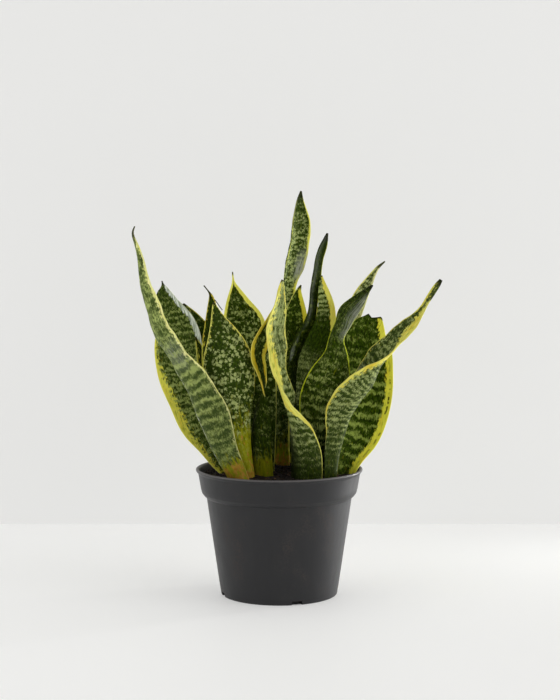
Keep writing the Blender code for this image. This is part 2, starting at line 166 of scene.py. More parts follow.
# Each blade by rows from its foot in the soil to its tip: the middle between its two margins
# (x, y, z), half the distance between the margins, the depth of its gutter, and the way its
# hollow side faces, in degrees from the front towards +X.
LEAVES = {
    "leaf_left_long": (
        (-35, -43, 112, 9, 6, 168),
        (-41, -44, 127, 10, 6, 168),
        (-51, -45, 148, 12, 6, 164),
        (-65, -46, 189, 17, 7, 156),
        (-74, -46, 208, 16.5, 7, 148),
        (-86, -47, 228, 15, 6, 139),
        (-98, -48, 244, 13.5, 5, 131),
        (-112, -48, 266, 14, 4.5, 129),
        (-122, -48, 292, 11.5, 4, 131),
        (-129, -48, 314, 8, 3, 133),
        (-136, -48, 348, 3, 1, 135),
        (-141, -48, 364, 1.1, 0.3, 135),
        (-139, -48, 369, 0.6, 0.2, 135),
    ),
    "leaf_left_broad": (
        (-40, -6, 105, 6.5, 6, 15),
        (-48, -6, 122, 8, 6, 15),
        (-59, -5, 135, 10, 6, 14),
        (-69, -3, 151, 13, 6, 12),
        (-81, 0, 170, 18, 6, 10),
        (-89, 3, 195, 21.5, 6, 8),
        (-97, 6, 223, 25, 6, 6),
        (-101, 9, 245, 24.5, 5.5, 6),
        (-102, 12, 261, 22.5, 5, 6),
        (-106, 14, 275, 18.5, 4, 8),
        (-113, 16, 291, 11.5, 3, 8),
        (-116, 17, 301, 8.5, 2.5, 8),
        (-116, 18, 306, 4.5, 1.5, 8),
        (-117, 18, 310, 1.2, 0.4, 8),
        (-118, 18, 314, 0.5, 0.2, 8),
    ),
    "leaf_left_back": (
        (-34, 14, 104, 7, 6, 5),
        (-40, 16, 122, 9, 6, 5),
        (-50, 20, 158, 14.5, 6, 5),
        (-61, 25, 193, 19.5, 6, 5),
        (-75, 31, 231, 21.5, 5.5, 5),
        (-85, 36, 258, 17.5, 4, 5),
        (-92, 39, 276, 10, 2.5, 5),
        (-98, 41, 290, 1, 0.5, 5),
    ),
    "leaf_left_inner": (
        (-33, -19, 108, 7, 5, 185),
        (-36, -20, 133, 9, 5, 185),
        (-43, -22, 163, 13, 5, 185),
        (-51, -23, 198, 18, 6, 185),
        (-56, -23, 226, 19.5, 6, 185),
        (-60, -23, 247, 16.5, 5, 185),
        (-63, -23, 267, 11.5, 4, 185),
        (-66, -23, 285, 5.5, 2, 185),
        (-66, -23, 294, 4, 1.5, 185),
        (-66, -23, 299, 3, 1, 185),
        (-67, -23, 302, 0.9, 0.4, 185),
        (-70, -23, 306, 0.5, 0.2, 185),
        (-74, -23, 311, 0.5, 0.2, 185),
    ),
    "leaf_left_small": (
        (-31, -14, 107, 5.5, 3, 5),
        (-37, -13, 132, 8, 3, 5),
        (-48, -13, 165, 9.5, 3.5, 5),
        (-62, -12, 195, 10, 3.5, 5),
        (-71, -10, 219, 9, 3, 5),
        (-76, -9, 238, 6, 2, 5),
        (-80, -8, 251, 3, 1, 5),
        (-83, -8, 259, 0.6, 0.3, 5),
    ),
    "leaf_left_front": (
        (-28, -32, 110, 6, 5, 186),
        (-31, -33, 126, 6.5, 5, 186),
        (-36, -35, 142, 9.5, 5, 186),
        (-42, -36, 162, 14.5, 6, 185),
        (-47, -36, 182, 19.5, 7, 184),
        (-49, -36, 201, 24, 8, 183),
        (-49, -36, 221, 25.5, 8, 182),
        (-51, -35, 245, 23, 7, 182),
        (-56, -34, 267, 13.5, 4.5, 182),
        (-60, -33, 279, 7, 2.5, 182),
        (-64, -33, 295, 0.8, 0.4, 182),
    ),
    "leaf_mid_left": (
        (-15, -2, 105, 10, 6, 5),
        (-17, 0, 130, 12.5, 6, 5),
        (-22, 3, 160, 19, 7, 5),
        (-28, 7, 195, 25.5, 8, 5),
        (-33, 11, 233, 28.5, 8, 5),
        (-36, 14, 255, 26.5, 7, 5),
        (-37, 17, 274, 21.5, 5.5, 5),
        (-41, 18, 288, 14.5, 4, 5),
        (-44, 20, 302, 7.5, 2, 5),
        (-46, 20, 312, 1.4, 0.3, 5),
        (-47, 20, 323, 0.5, 0.2, 5),
    ),
    "leaf_mid_twisted": (
        (-13, -22, 108, 9, 5, 168),
        (-15, -24, 124, 9.5, 5, 165),
        (-17, -25, 148, 10.5, 5, 158),
        (-17, -27, 171, 11.5, 4.5, 146),
        (-16, -30, 191, 12, 3, 120),
        (-14, -32, 206, 12.5, 1.5, 94),
        (-15, -33, 216, 13, 1.5, 82),
        (-18, -34, 231, 13.5, 2, 68),
        (-20, -35, 248, 13.5, 2.5, 56),
        (-16, -34, 260, 12.5, 3, 55),
        (-10, -33, 270, 10.5, 3, 55),
        (-4, -32, 280, 9, 2.5, 54),
        (0, -31, 290, 7.5, 2, 52),
        (1, -31, 305, 4.5, 1, 50),
        (3, -31, 317, 0.6, 0.3, 50),
    ),
    "leaf_front_twisted": (
        (28, -40, 111, 13, 6, 172),
        (27, -41, 127, 15.5, 7, 170),
        (27, -42, 146, 15.5, 7.5, 164),
        (24, -44, 163, 14.5, 8, 150),
        (21, -46, 177, 14.5, 8.5, 130),
        (18, -48, 189, 14.5, 9, 106),
        (13, -49, 201, 14, 8, 80),
        (5, -48, 218, 13, 4.5, 66),
        (-1, -46, 236, 13, 3, 55),
        (-2, -45, 252, 13.5, 3, 46),
        (-3, -44, 269, 13, 3, 45),
        (0, -43, 286, 10, 2.5, 45),
        (2, -42, 302, 5, 1, 45),
        (4, -42, 317, 0.6, 0.2, 45),
    ),
    "leaf_tallest": (
        (2, 40, 106, 8, 4, 12),
        (3, 39, 126, 8, 4, 12),
        (3, 38, 153, 7.5, 4, 12),
        (4, 36, 191, 8, 4, 15),
        (7, 33, 243, 9.5, 4, 25),
        (10, 29, 284, 9, 5, 42),
        (11, 26, 306, 8.5, 6, 46),
        (15, 23, 326, 13.5, 7, 45),
        (20, 20, 345, 13, 7, 41),
        (22, 18, 363, 12.5, 6, 36),
        (22, 16, 380, 8.5, 4, 30),
        (21, 15, 393, 4.5, 2, 28),
        (22, 15, 404, 0.8, 0.3, 28),
    ),
    "leaf_mid_dark": (
        (24, 13, 102, 7, 5, 5),
        (24, 14, 128, 8, 5, 5),
        (22, 15, 163, 9, 5, 5),
        (19, 15, 194, 9.5, 5, 5),
        (17, 15, 224, 11, 5, 5),
        (17, 15, 249, 12, 5, 5),
        (17, 14, 277, 11.5, 4, 5),
        (18, 13, 294, 7, 2.5, 5),
        (20, 13, 306, 2, 1, 5),
        (22, 13, 310, 0.5, 0.2, 5),
    ),
    "leaf_mid_narrow": (
        (30, 1, 104, 7.5, 5, 10),
        (29, 1, 130, 9, 5, 12),
        (27, 2, 165, 11.5, 5, 15),
        (24, 2, 200, 13, 5, 20),
        (22, 2, 230, 14.5, 5, 26),
        (24, 2, 252, 13.5, 4, 34),
        (30, 3, 268, 8.5, 3, 38),
        (34, 3, 287, 6, 2, 42),
        (35, 2, 302, 6, 2, 44),
        (38, 1, 320, 6.5, 2, 46),
        (40, -3, 338, 6, 1.5, 46),
        (45, -3, 352, 4.5, 1, 46),
        (48, -3, 362, 1.1, 0.4, 46),
    ),
    "leaf_right_inner": (
        (35, -12, 106, 8, 5, 5),
        (35, -12, 129, 10, 5, 5),
        (35, -12, 162, 14, 6, 5),
        (35, -10, 197, 18, 6, 5),
        (38, -5, 234, 19, 6, 5),
        (43, 0, 256, 15, 5, 5),
        (47, 2, 277, 10, 4, 5),
        (47, 1, 291, 8, 3, 5),
        (44, 0, 305, 5.5, 2, 5),
        (42, 0, 320, 0.8, 0.4, 5),
    ),
    "leaf_right_front": (
        (37, -20, 108, 7.5, 5, 178),
        (37, -21, 128, 9, 5, 178),
        (37, -24, 153, 12.5, 6, 178),
        (39, -27, 179, 18.5, 7, 178),
        (43, -28, 200, 23, 7, 177),
        (50, -27, 222, 20.5, 7, 176),
        (56, -25, 243, 12, 6, 175),
        (56, -23, 260, 7, 5, 172),
        (64, -22, 275, 8, 4, 168),
        (66, -21, 283, 10.5, 4, 166),
        (72, -21, 289, 9, 4, 164),
        (79, -20, 297, 6.5, 3, 162),
        (86, -19, 305, 3, 2, 160),
        (92, -18, 311, 0.8, 0.4, 160),
    ),
    "leaf_right_dark": (
        (50, 9, 105, 7, 5, 3),
        (51, 15, 153, 8, 5, 3),
        (52, 22, 193, 8.5, 5, 3),
        (55, 25, 228, 8.5, 4.5, 3),
        (58, 27, 249, 8.5, 4, 3),
        (63, 27, 267, 8.5, 3.5, 0),
        (71, 25, 283, 6, 2.5, 0),
        (79, 22, 295, 0.8, 0.4, 0),
    ),
    "leaf_right_back": (
        (51, 24, 103, 7, 5, 0),
        (54, 27, 136, 9, 5, 0),
        (58, 30, 172, 11, 5, 0),
        (61, 32, 207, 12, 5, 0),
        (64, 34, 238, 11.5, 4.5, 0),
        (69, 36, 263, 9, 4, -5),
        (77, 39, 283, 8.5, 3.5, -8),
        (85, 41, 302, 7, 3, -10),
        (93, 43, 315, 4, 2, -12),
        (99, 44, 325, 2, 1, -12),
        (108, 45, 333, 0.6, 0.3, -12),
    ),
    "leaf_right_broad": (
        (64, -12, 106, 7, 5, -10),
        (66, -12, 122, 8.5, 6, -10),
        (72, -9, 140, 12.5, 6, -8),
        (81, -4, 159, 19, 7, -6),
        (86, 2, 183, 24, 7, -5),
        (88, 8, 210, 26.5, 7, -5),
        (88, 14, 236, 26.5, 6, -5),
        (88, 19, 258, 21, 5, -5),
        (92, 22, 270, 15.5, 3.5, -5),
        (95, 24, 278, 9.5, 2, -5),
    ),
    "leaf_right_long": (
        (47, -33, 110, 9, 8, -108),
        (47, -34, 126, 10, 8.5, -108),
        (48, -35, 148, 12, 10.5, -108),
        (51, -36, 170, 15.5, 13.5, -111),
        (53, -37, 190, 19, 18, -114),
        (60, -38, 208, 21.5, 21, -110),
        (73, -38, 225, 19, 21, -93),
        (90, -37, 242, 17, 13, -78),
        (102, -36, 250, 16.5, 7.5, -72),
        (115, -35, 263, 14.5, 4, -65),
        (123, -34, 270, 12, 3, -63),
        (132, -33, 278, 9, 2, -65),
        (138, -33, 286, 6, 1.5, -62),
        (144, -32, 296, 4.5, 1, -62),
        (151, -32, 307, 4, 0.8, -54),
        (156, -31, 314, 3, 0.5, -51),
        (158, -31, 317, 2, 0.3, -54),
    ),
    "leaf_back_far_left": (
        (-50, 26, 109, 8, 5, 25),
        (-56, 30, 135, 10, 5, 25),
        (-66, 40, 170, 14, 6, 25),
        (-76, 50, 205, 16, 6, 25),
        (-83, 57, 235, 15, 5, 25),
        (-88, 62, 257, 9, 3, 25),
        (-90, 64, 271, 1, 0.4, 25),
    ),
    "leaf_back_left": (
        (-24, 30, 107, 9, 6, 10),
        (-26, 33, 130, 10, 6, 10),
        (-29, 44, 165, 16, 7, 10),
        (-32, 60, 200, 20, 7, 10),
        (-37, 76, 235, 20, 6, 10),
        (-42, 90, 262, 12, 4, 10),
        (-44, 98, 282, 1, 0.4, 10),
    ),
    "leaf_back_left_low": (
        (-26, 58, 107, 8, 5, 14),
        (-29, 64, 135, 10, 5, 14),
        (-37, 82, 175, 16, 6, 14),
        (-46, 102, 212, 18, 5, 14),
        (-52, 116, 238, 10, 3, 14),
        (-55, 124, 255, 1, 0.4, 14),
    ),
    "leaf_back_middle": (
        (6, 57, 107, 9, 5, 0),
        (7, 61, 135, 11, 5, 0),
        (8, 74, 175, 17, 6, 0),
        (8, 94, 215, 21, 6, 0),
        (7, 112, 245, 14, 4, 0),
        (6, 124, 268, 1, 0.4, 0),
    ),
    "leaf_back_right": (
        (26, 32, 106, 9, 6, -8),
        (28, 36, 130, 11, 6, -8),
        (32, 50, 170, 18, 7, -8),
        (36, 70, 210, 22, 7, -8),
        (39, 88, 245, 17, 5, -8),
        (41, 100, 270, 7, 2.5, -8),
        (42, 104, 284, 1, 0.4, -8),
    ),
    "leaf_back_right_low": (
        (30, 60, 107, 8, 5, -12),
        (33, 66, 135, 10, 5, -12),
        (40, 84, 175, 16, 6, -12),
        (47, 104, 212, 18, 5, -12),
        (52, 118, 240, 10, 3, -12),
        (55, 126, 258, 1, 0.4, -12),
    ),
    "leaf_back_far_right": (
        (57, 37, 107, 7, 5, -30),
        (60, 40, 132, 9, 5, -30),
        (70, 51, 168, 15, 6, -30),
        (80, 62, 203, 19, 6, -30),
        (86, 74, 235, 13, 4, -30),
        (90, 82, 258, 1, 0.4, -30),
    ),
}

# Camera, backdrop and light: metres, degrees, watts, and colours from 0 to 255.
CAMERA_PLACE = (0.0008, -1.645, 0.376)
CAMERA_DIP = 4.53
CAMERA_LENS = 85
STAGE_REACH = 6.0
WALL_BEHIND = 0.376
# Within this radius of the pot's axis the floor doesn't glow: painted shade under the pot.
PAINTED_SHADE_UNDER_POT = 0.053
FLOOR_COLOUR = (214, 214, 213)
FLOOR_GLOW = 0.475
WALL_COLOUR = (190, 190, 189)
WALL_GLOW = 0.775
SKY_ALL = 0.02
SKY_RIGHT = 1.86
SKY_LEFT = 1.55
SKY_COLOUR = (1.0, 0.995, 0.985, 1)
# Name, place, size, watts and spread of each lamp. They all face the middle of the plant.
LAMP_AIM = (0, 0, 0.15)
LIGHTS = (
    ("window", (2.0, -0.5, 0.75), (0.8, 1.2), 2.4, 180),
    ("rim", (0.75, 0.345, 0.1), (0.04, 0.19), 0.5, 55),
)


def look(minus, plus, bands, blotch, pale, **single):
    """Markings of one blade. A list holds values spread evenly from the blade's foot to its tip.

    minus and plus are the widths in mm of the yellow margins on its two sides, below zero for none.
    bands, blotch and streak say how strong the cross bands, the round flecks and the streaks along it
    are, pale how much of it they cover, and tone its brightness, which is partly the blade's own and
    partly painted light and shade. vein draws a broken dark line in the plus margin, inset moves the
    minus one in from the edge by mm, and ragged roughens both in turn.

    The rest hold all along. period is the bands' distance in mm, and calm keeps them straight. veil
    greys the dark green, warm turns yellow to amber, or to lime below zero, cream whitens the pale
    marks, and silver paints a whitish sheen onto the two margins. foot and tan colour the foot for the
    reach in mm, tip is the length of the dark tip, spread lets margins be wide where the blade is
    narrow, and shade adds painted shade to the plus side of the lower third, where the blade curves away.
    gleam is a painted greyish sheen: place across and width, as shares of the half width, start and
    end along it, and strength. jag shifts the cut end by mm, from the minus side to the plus side.
    """
    plain = {
        "tone": 1, "streak": 0.4, "vein": 0, "inset": 0, "ragged": (1, 1), "period": 8, "calm": 0.7,
        "veil": 0, "warm": 0.3, "cream": 0.4, "silver": (0, 0), "foot": 0.3, "tan": 0.2, "reach": 19,
        "tip": 6, "spread": 1, "shade": 0, "gleam": (0, 1, 0, 1, 0), "jag": 0,
    }
    lists = {"minus": minus, "plus": plus, "bands": bands, "blotch": blotch, "pale": pale}
    return {**plain, **lists, **single}


# The brightness lists here are partly painted light and shade, and the sheen values paint sheen onto the
# blades.
LOOKS = {
    "leaf_left_long": look(
        (1, 1, 1.7, 2.6, 0.4), (0.8, 0.8, 1, 1.2, 1), (0.4, 0.7, 1, 1.3, 0.8, 0.3, 0.2, 0.3, 0.2),
        (0.35, 0.3, 0.3, 0.5, 0.4), (0.1, 0.15, 0.3, 0.4, 0), tone=(0.9, 1, 1.25, 1.4, 1.25),
        veil=0.6, period=10.5, calm=0.6, warm=-0.2, cream=0.5, silver=(0.35, 0.8),
        streak=(0.2, 0.3, 1.5, 1.9), foot=1.3, tan=1, reach=16, tip=20,
        gleam=(-0.3, 0.7, 0.42, 0.58, 0.4)),
    "leaf_left_broad": look(
        (1.5, 5.5, 9.5, 8, 2, -1, -1), (0.8, 0.8, 0.8, 3.5, 5, 5, 3), (0.3, 0.8, 1.2, 1, 0.7),
        (0.6, 0.7, 0.6, 0.5, 0.4), (-0.5, 0.3, 0.3, 0.1, -0.6), tone=(1.4, 1.15), veil=0.15,
        period=5.5, calm=0.1, warm=-0.05, cream=0.4, silver=(0, 1), foot=0.5, tan=0.3, tip=8,
        ragged=(1.8, 0.5)),
    "leaf_left_back": look((0.6, 0.6, 0.5), (0.7, 0.7, 0.6), 0.6, 0.5, (-0.4, -0.5)),
    "leaf_left_inner": look((1, 1.8, 1.5), (1.6, 2, 0.5), 0.3, (0.4, 0.3), (-0.7, -0.9), tip=18),
    "leaf_left_small": look((1, 1.6, 1), (1, 1, 0.6), 0.3, 0.5, (-0.4, -0.8), warm=-0.2),
    "leaf_left_front": look(
        (-1, -1, 0.5, 1.8, 0.8), (0.4, 0.4, 0.6, 1.6, 1.4), (0.6, 0.9, 0.5, 0.3, 0),
        (0.6, 1, 1.5, 1.6, 0), (0.3, 0.2, 0, 0, -1.6), tone=(1.1, 1.15), veil=0.12, period=9,
        calm=0.3, warm=-0.1, cream=0.8, streak=(0.2, 0), foot=1.15, tan=0.8, reach=52, tip=3),
    "leaf_mid_left": look(
        (0.5, 0.5, 2, 3.6, 1.4), (0.1, 0.1, 0.1, 0.8, 3.6, 4.8, 1.6), (0.3, 0.4, 0.4, 0.5, 0),
        (0.5, 0.6, 1.2, 1.4, 0), (-0.3, -0.3, 0, 0.2, -0.8), tone=(1.15, 1.4), period=6, warm=-0.1,
        cream=0.5, streak=(0.2, 0), tip=5, ragged=(0.25, 0.25), spread=1.4),
    "leaf_mid_twisted": look(
        (-1, -1, -1, -1, -1, 10, 7, 6, 5, 3, 1), (-1, -1, -1, -1, -1, 6, 6, 5, 5, 3, 1),
        (0.5, 0.4, 0.4), (0.5, 0.8, 1.2), (-0.6, -0.7, 0.2), tone=(0.7, 0.7, 1.2, 1.2), warm=0.45,
        foot=0.9, tan=0, reach=22, tip=5, ragged=(0.5, 0.5), spread=1.7),
    "leaf_front_twisted": look(
        (0.8, 1, 1.1, 1.3, 3.5, 10, 15, 17, 17, 13, 9, 6, 3.5, 2.2, -1), (-1, -1, 0.8, 1.2, 0.8),
        (0.3, 1.2, 0.9, 0.2, 0.1), (0.2, 0.4, 0.4, 0.4), (-0.7, 0.3, 0.5, 0.8, 0.9),
        tone=(0.75, 1.15, 1.02, 1.1), veil=0.2, warm=0.05, cream=0.8, calm=0.4, shade=0.75,
        streak=(0.2, 0.6, 2, 2.2), foot=0, tip=2, ragged=((0.2, 0.3, 2, 3.2, 3.2), 1), spread=2.8),
    "leaf_tallest": look(
        (0.3, 0.4, 0.6, 0.9, 1.2, 0.5, -0.5), (1.4, 1, 0.9, 1, 2.4, 1.9, 0.1),
        (0.4, 0.5, 0.5, 0.9, 0.3), (0.4, 0.7, 1.2, 1.1, 0.2), (-0.5, -0.3, 0.6, 0.6, -0.6),
        veil=0.1, tone=(1.25, 1.35, 1.25), period=4.5, calm=0.1, warm=-0.5, cream=0.65,
        streak=(0.3, 0.4, 0.6), foot=1, tan=1.1, reach=28, tip=14, ragged=(0.5, 0.5),
        inset=(0, 0, 0, 0, 0, 1.5, 3.2, 3.2, 2.8, 0.4, 0), gleam=(0.85, 0.4, 0.66, 0.8, 1.6)),
    "leaf_mid_dark": look(
        (-1, -1, 0.2, 0), (0.3, 0.6, 3.6, 5.5, 3.5), 0.3, (0.6, 1.1), (-0.5, -0.4), tone=(1, 1.4),
        warm=0, cream=0.1, ragged=(0.2, 0.2), spread=1.9),
    "leaf_mid_narrow": look(
        -1, (0.4, 0.4, 0.6, 0.9, 0.6), (0.6, 0.5, 0.2), (1, 0.8, 0.2), (-0.3, -0.6, -0.8), tone=0.6,
        warm=-0.7, cream=0, tip=12, ragged=(0.2, 0.2), streak=0.3),
    "leaf_right_inner": look(
        -1, (0.8, 0.8, 3, 6.5, 4.5), (0.4, 0.4, 0.5, 0.5, 0.4, 0.1, 0.2, 1.6, 0.6),
        (0.5, 0.6, 0.6, 0, 0.3, 0.8), (-0.4, -0.4, -0.3, -0.1, 0.2, 0.3, 0.3, 0, -1.6, -0.9, 0.3, 0.6, 0.8),
        tone=(0.9, 1.1), period=5, warm=0.25, cream=0.6, tip=0, ragged=(0.4, 0.4), spread=1.7),
    "leaf_right_front": look(
        (1, 1.2, 1.5, 1, 0.3), (1, 1.3, 1.5, 1, 0.3), (1.3, 1.4, 0.8, 0, 0),
        (0.4, 0.4, 0.5, 0.1, 0), (0.1, 0, -0.25, -0.4, -0.7), tone=(1.1, 1.1, 1.15, 0.65), period=9,
        calm=0.3, warm=-1, streak=(0.2, 0.3, 0.8, 1), foot=0.1, tip=8, ragged=(0.4, 0.4),
        gleam=(-0.8, 0.55, 0.66, 0.96, 0.65)),
    "leaf_right_dark": look(0, (0.8, 1.4), 0.3, 0.3, -0.8, tone=0.75),
    "leaf_right_back": look(
        (0.8, 0.8, 0.9, 1, 0.3), (1, 2, 4, 3, 0.5), (0.4, 0.5, 0.4), (0.5, 0.7, 0.6),
        (0, 0, 0.5, 0.8), tone=(1.1, 1.2), period=5, warm=-0.1, cream=1, silver=(0, 0.4),
        streak=(0.5, 1), tip=15, spread=2),
    "leaf_right_broad": look(
        0, (8, 8.5, 8, 7, 6.5), (1, 2, 1.5, 0.6), (0.4, 0.3, 0.4, 0.6), (-0.5, -0.1, -0.3, -0.6),
        tone=(1.45, 1.3, 1.35), period=11, calm=0.4, warm=0, cream=0.15, foot=0.1, tip=0,
        vein=(0, 0.6, 1, 0, 0), ragged=(0.5, 0.7), spread=1.8,
        jag=(-3.5, -1.2, 1.2, 0, -1.4, -0.6, 0.3, 1.4, 2.3, 0.5)),
    "leaf_right_long": look(
        (-1, 0, 0.4, 0.5, 0.6, 0.6, 0.6, 0.6, 0.8, 1, 3, 0.5),
        (-1, -1, 0.6, 1.6, 2.2, 3.5, 5.5, 8.5, 14, 9, -1, -1), (0.2, 1, 0.9, 0.5, 0.2),
        (0.2, 0.4, 0.6, 0.7, 0.3), (-0.8, 0.3, 0.4, -0.1, -0.4), tone=(0.8, 1, 1), veil=0.3,
        period=6, calm=0.4, warm=0.1, cream=0.7, streak=(0.3, 0.6, 0.7), foot=0.1, tip=9,
        ragged=(1, (0.6, 0.9, 1.4, 2, 2)), spread=2.4, gleam=(-0.6, 0.4, 0.22, 0.52, 0.7)),
}
BACK_LOOK = look(
    (2, 3.5, 2.4), (2, 4, 2.4), (0.8, 1, 0.8), (0.5, 0.6, 0.5), (-0.1, -0.1, -0.4), foot=0.5)


def slopes(times, values, limited):
    """Slope at each row of a smooth curve through the values. A limited one never overshoots."""
    steps = np.diff(times)[:, None]
    rates = np.diff(values, axis=0) / steps
    before, after = rates[:-1], rates[1:]
    h0, h1 = steps[:-1], steps[1:]
    middle = (before * h1 + after * h0) / (h0 + h1)
    if limited:
        most = 2.5 * np.minimum(abs(before), abs(after))
        middle = np.where(before * after > 0, np.clip(middle, -most, most), 0)
    return np.vstack([rates[:1], middle, rates[-1:]])


def smooth_rows(rows, cell):
    """The rows of a blade with more between them, and how far along the blade each one lies."""
    rows = np.array(rows, float)
    gaps = np.linalg.norm(np.diff(rows[:, :3], axis=0), axis=1)
    times = np.concatenate([[0], np.cumsum(gaps)])
    slope = slopes(times, rows, False)
    slope[:, 3:5] = slopes(times, rows[:, 3:5], True)
    found = [rows[:1]]
    along = [[0.0]]
    for i, gap in enumerate(gaps):
        count = max(1, int(round(gap / cell)))
        t = (np.arange(1, count + 1) / count)[:, None]
        part = (2 * t**3 - 3 * t**2 + 1) * rows[i] + (t**3 - 2 * t**2 + t) * gap * slope[i]
        part += (3 * t**2 - 2 * t**3) * rows[i + 1] + (t**3 - t**2) * gap * slope[i + 1]
        found.append(part)
        along.append(times[i] + gap * t[:, 0])
    return np.vstack(found), np.concatenate(along)


def unit(vectors):
    return vectors / np.linalg.norm(vectors, axis=-1, keepdims=True)


def eased(rows, along):
    """The rows with their small kinks smoothed away, the two ends kept."""
    reach = np.minimum(EASE, 0.3 * np.minimum(along, along[-1] - along) + 0.05)
    weight = np.exp(-0.5 * ((along[None] - along[:, None]) / reach[:, None]) ** 2)
    return (weight / weight.sum(1, keepdims=True)) @ rows


def blade_surface(rows, along, s, phase):
    """Points of the middle surface of a blade, row by row, and its normals on the hollow side."""
    spine = rows[:, :3]
    half, sag, facing = rows[:, 3], rows[:, 4], np.radians(rows[:, 5])
    forward = unit(np.gradient(spine, along, axis=0))
    face = np.stack([np.sin(facing), -np.cos(facing), np.zeros(len(rows))], 1)
    face = unit(face - (face * forward).sum(1)[:, None] * forward)
    side = np.cross(forward, face)
    free = np.clip(half / FREE_HALF, 0, 1) * np.clip((along - FREE_FROM) / FREE_OVER, 0, 1)
    turn = 2 * np.pi * along / WAVE_LENGTH + phase
    wave = np.where(s > 0, np.sin(turn)[:, None], np.sin(1.13 * turn + 2)[:, None])
    wave = wave + np.where(s > 0, np.sin(2.7 * turn)[:, None], np.sin(3.1 * turn + 1)[:, None]) * 0.3
    ripple = RIPPLE * np.sin(5.3 * turn[:, None] + 2 * np.sin(3 * s + phase)) * (1 - s**2)
    lift = sag[:, None] * (s**2 - 1) + free[:, None] * (WAVE * wave * abs(s) ** 3 + ripple)
    points = spine[:, None] + half[:, None, None] * s[..., None] * side[:, None]
    points = points + lift[..., None] * face[:, None]
    normals = np.cross(np.gradient(points, axis=1), np.gradient(points, axis=0))
    return points, unit(normals)


def blade_faces(n, m):
    """Quads of two skins of n rows by m columns, joined round their edges. The hollow side comes first."""
    front = np.arange(n * m).reshape(n, m)
    back = front + n * m

    def quads(a, b, c, d):
        return np.stack([a.ravel(), b.ravel(), c.ravel(), d.ravel()], 1)

    return np.concatenate([
        quads(front[:-1, :-1], front[:-1, 1:], front[1:, 1:], front[1:, :-1]),
        quads(back[:-1, :-1], back[1:, :-1], back[1:, 1:], back[:-1, 1:]),
        quads(front[:-1, 0], front[1:, 0], back[1:, 0], back[:-1, 0]),
        quads(front[:-1, -1], back[:-1, -1], back[1:, -1], front[1:, -1]),
        quads(front[0, :-1], back[0, :-1], back[0, 1:], front[0, 1:]),
        quads(front[-1, :-1], front[-1, 1:], back[-1, 1:], back[-1, :-1]),
    ])


def along_blade(values, share):
    """Values spread evenly from a blade's foot to its tip, read at each share of its length."""
    values = np.atleast_1d(values)
    return np.interp(share, np.linspace(0, 1, len(values)), values)


def make_blade(node, rows, index):
    """One leaf: its closed blade of two skins, with its markings."""
    marks = LOOKS.get(node, BACK_LOOK)
    rows, along = smooth_rows(rows, CELL)
    rows = eased(rows, along)
    rows[:, 3] = np.maximum(rows[:, 3], LEAST_HALF)
    columns = np.sin(np.linspace(-1, 1, ACROSS + 1) * np.pi / 2)
    s = np.tile(columns, (len(rows), 1))
    points, normals = blade_surface(rows, along, s, 1.7 * index)
    forward = unit(rows[-1, :3] - rows[-3, :3])
    near_end = np.clip(1 - (along[-1] - along) / JAG_REACH, 0, 1)[:, None]
    points = points + (near_end * along_blade(marks["jag"], (s + 1) / 2))[..., None] * forward
    steps = np.linalg.norm(np.diff(points, axis=1), axis=2)
    from_minus = np.concatenate([np.zeros((len(rows), 1)), np.cumsum(steps, axis=1)], axis=1)
    from_plus = from_minus[:, -1:] - from_minus
    margin = np.minimum(from_minus, from_plus)
    keel = THICK_BASE + (THICK_TIP - THICK_BASE) * np.clip(along / THIN_FROM, 0, 1)
    keel = np.minimum(keel, 0.9 + 0.3 * rows[:, 3])[:, None]
    edge = np.minimum(keel, THICK_EDGE)
    rounding = np.sqrt(np.clip(1 - (1 - np.clip(margin / EDGE_ROUND, 0, 1)) ** 2, 0.03, 1))
    thick = (edge + (keel - edge) * (1 - abs(s) ** 2.5)) * rounding
    skins = [points + normals * thick[..., None] / 2, points - normals * thick[..., None] / 2]
    vertices = np.concatenate([skin.reshape(-1, 3) for skin in skins])
    mesh = new_mesh(node.replace("leaf", "blade"), vertices, blade_faces(*s.shape))
    mark_blade(mesh, marks, index, s, along, from_minus, from_plus)
    return piece(mesh, LEAF, "leaf", node)


